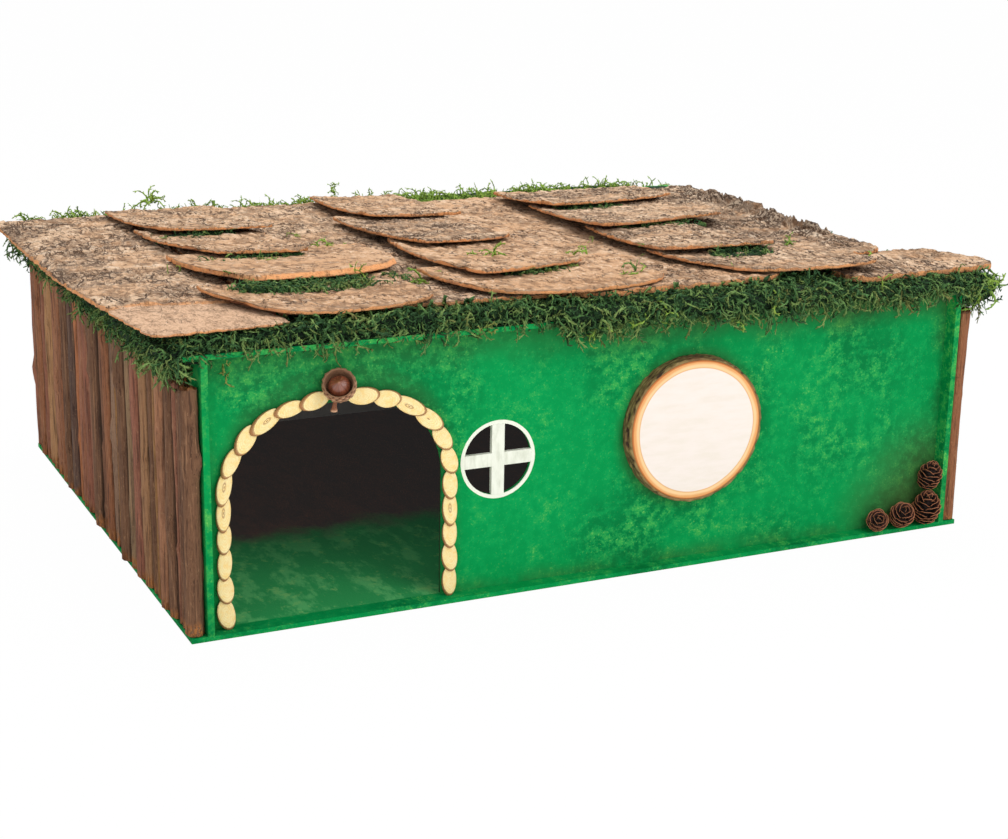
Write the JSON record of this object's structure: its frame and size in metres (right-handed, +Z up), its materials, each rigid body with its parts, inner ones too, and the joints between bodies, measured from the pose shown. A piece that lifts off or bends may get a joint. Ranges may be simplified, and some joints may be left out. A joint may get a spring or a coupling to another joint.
{
  "type": "hedgehog house",
  "caption": "Low timber shelter for a hedgehog with an arched doorway, a round window, branch-clad sides and a lift-off roof of overlapping bark and moss.",
  "frame": {"origin": "middle of the underside of the floor board", "axes": "+X to the right as seen from the front, the doorway faces -Y, +Z up"},
  "size_m": [0.598, 0.444, 0.1986],
  "materials": {
    "painted_wood": "sponged matt green paint",
    "raw_wood": "sawn",
    "white_wood": "painted",
    "sign_wood": "sanded, face painted off-white",
    "slice_bark": "rough bark",
    "slice_wood": "sawn end grain with a bark rim",
    "acorn_cup": "rough, scaly",
    "acorn_nut": "glossy",
    "cone": "dry scales",
    "branch": "smooth young bark",
    "bark": "furrowed bark",
    "moss": "loose strands"
  },
  "bodies": {
    "house": {"floor_board": "painted_wood", "left_wall": "painted_wood", "right_wall": "painted_wood", "back_wall": "painted_wood", "front_panel": "painted_wood", "window_upright": "white_wood", "window_crossbar": "white_wood", "name_slice": "sign_wood", "name_slice_bark": "slice_bark", "door_trim_left": "slice_wood", "door_trim_right": "slice_wood", "acorn_cup": "acorn_cup", "acorn_nut": "acorn_nut", "cone_1": "cone", "cone_2": "cone", "cone_3": "cone", "cone_4": "cone", "left_branches": "branch", "right_branches": "branch"},
    "roof": {"lid": "painted_wood", "batten_front": "raw_wood", "batten_back": "raw_wood", "bark_corner": "bark", "bark_sheet_1": "bark", "bark_sheet_2": "bark", "bark_sheet_3": "bark", "bark_sheet_4": "bark", "shingle_left_4": "bark", "shingle_middle_4": "bark", "shingle_right_4": "bark", "shingle_left_3": "bark", "shingle_middle_3": "bark", "shingle_right_3": "bark", "shingle_left_2": "bark", "shingle_middle_2": "bark", "shingle_right_2": "bark", "shingle_left_1": "bark", "shingle_middle_1": "bark", "shingle_right_1": "bark", "moss_front": "moss", "moss_left": "moss", "moss_right": "moss", "moss_back": "moss", "moss_pad_left_3": "moss", "moss_pad_middle_3": "moss", "moss_pad_right_3": "moss", "moss_pad_left_2": "moss", "moss_pad_right_2": "moss", "moss_pad_left_1": "moss", "moss_pad_right_1": "moss"}
  },
  "joints": [
    {"name": "roof_lift", "type": "slide", "parent": "house", "child": "roof", "axis": [0, 0, 1], "range_m": [0, 0.1]}
  ]
}
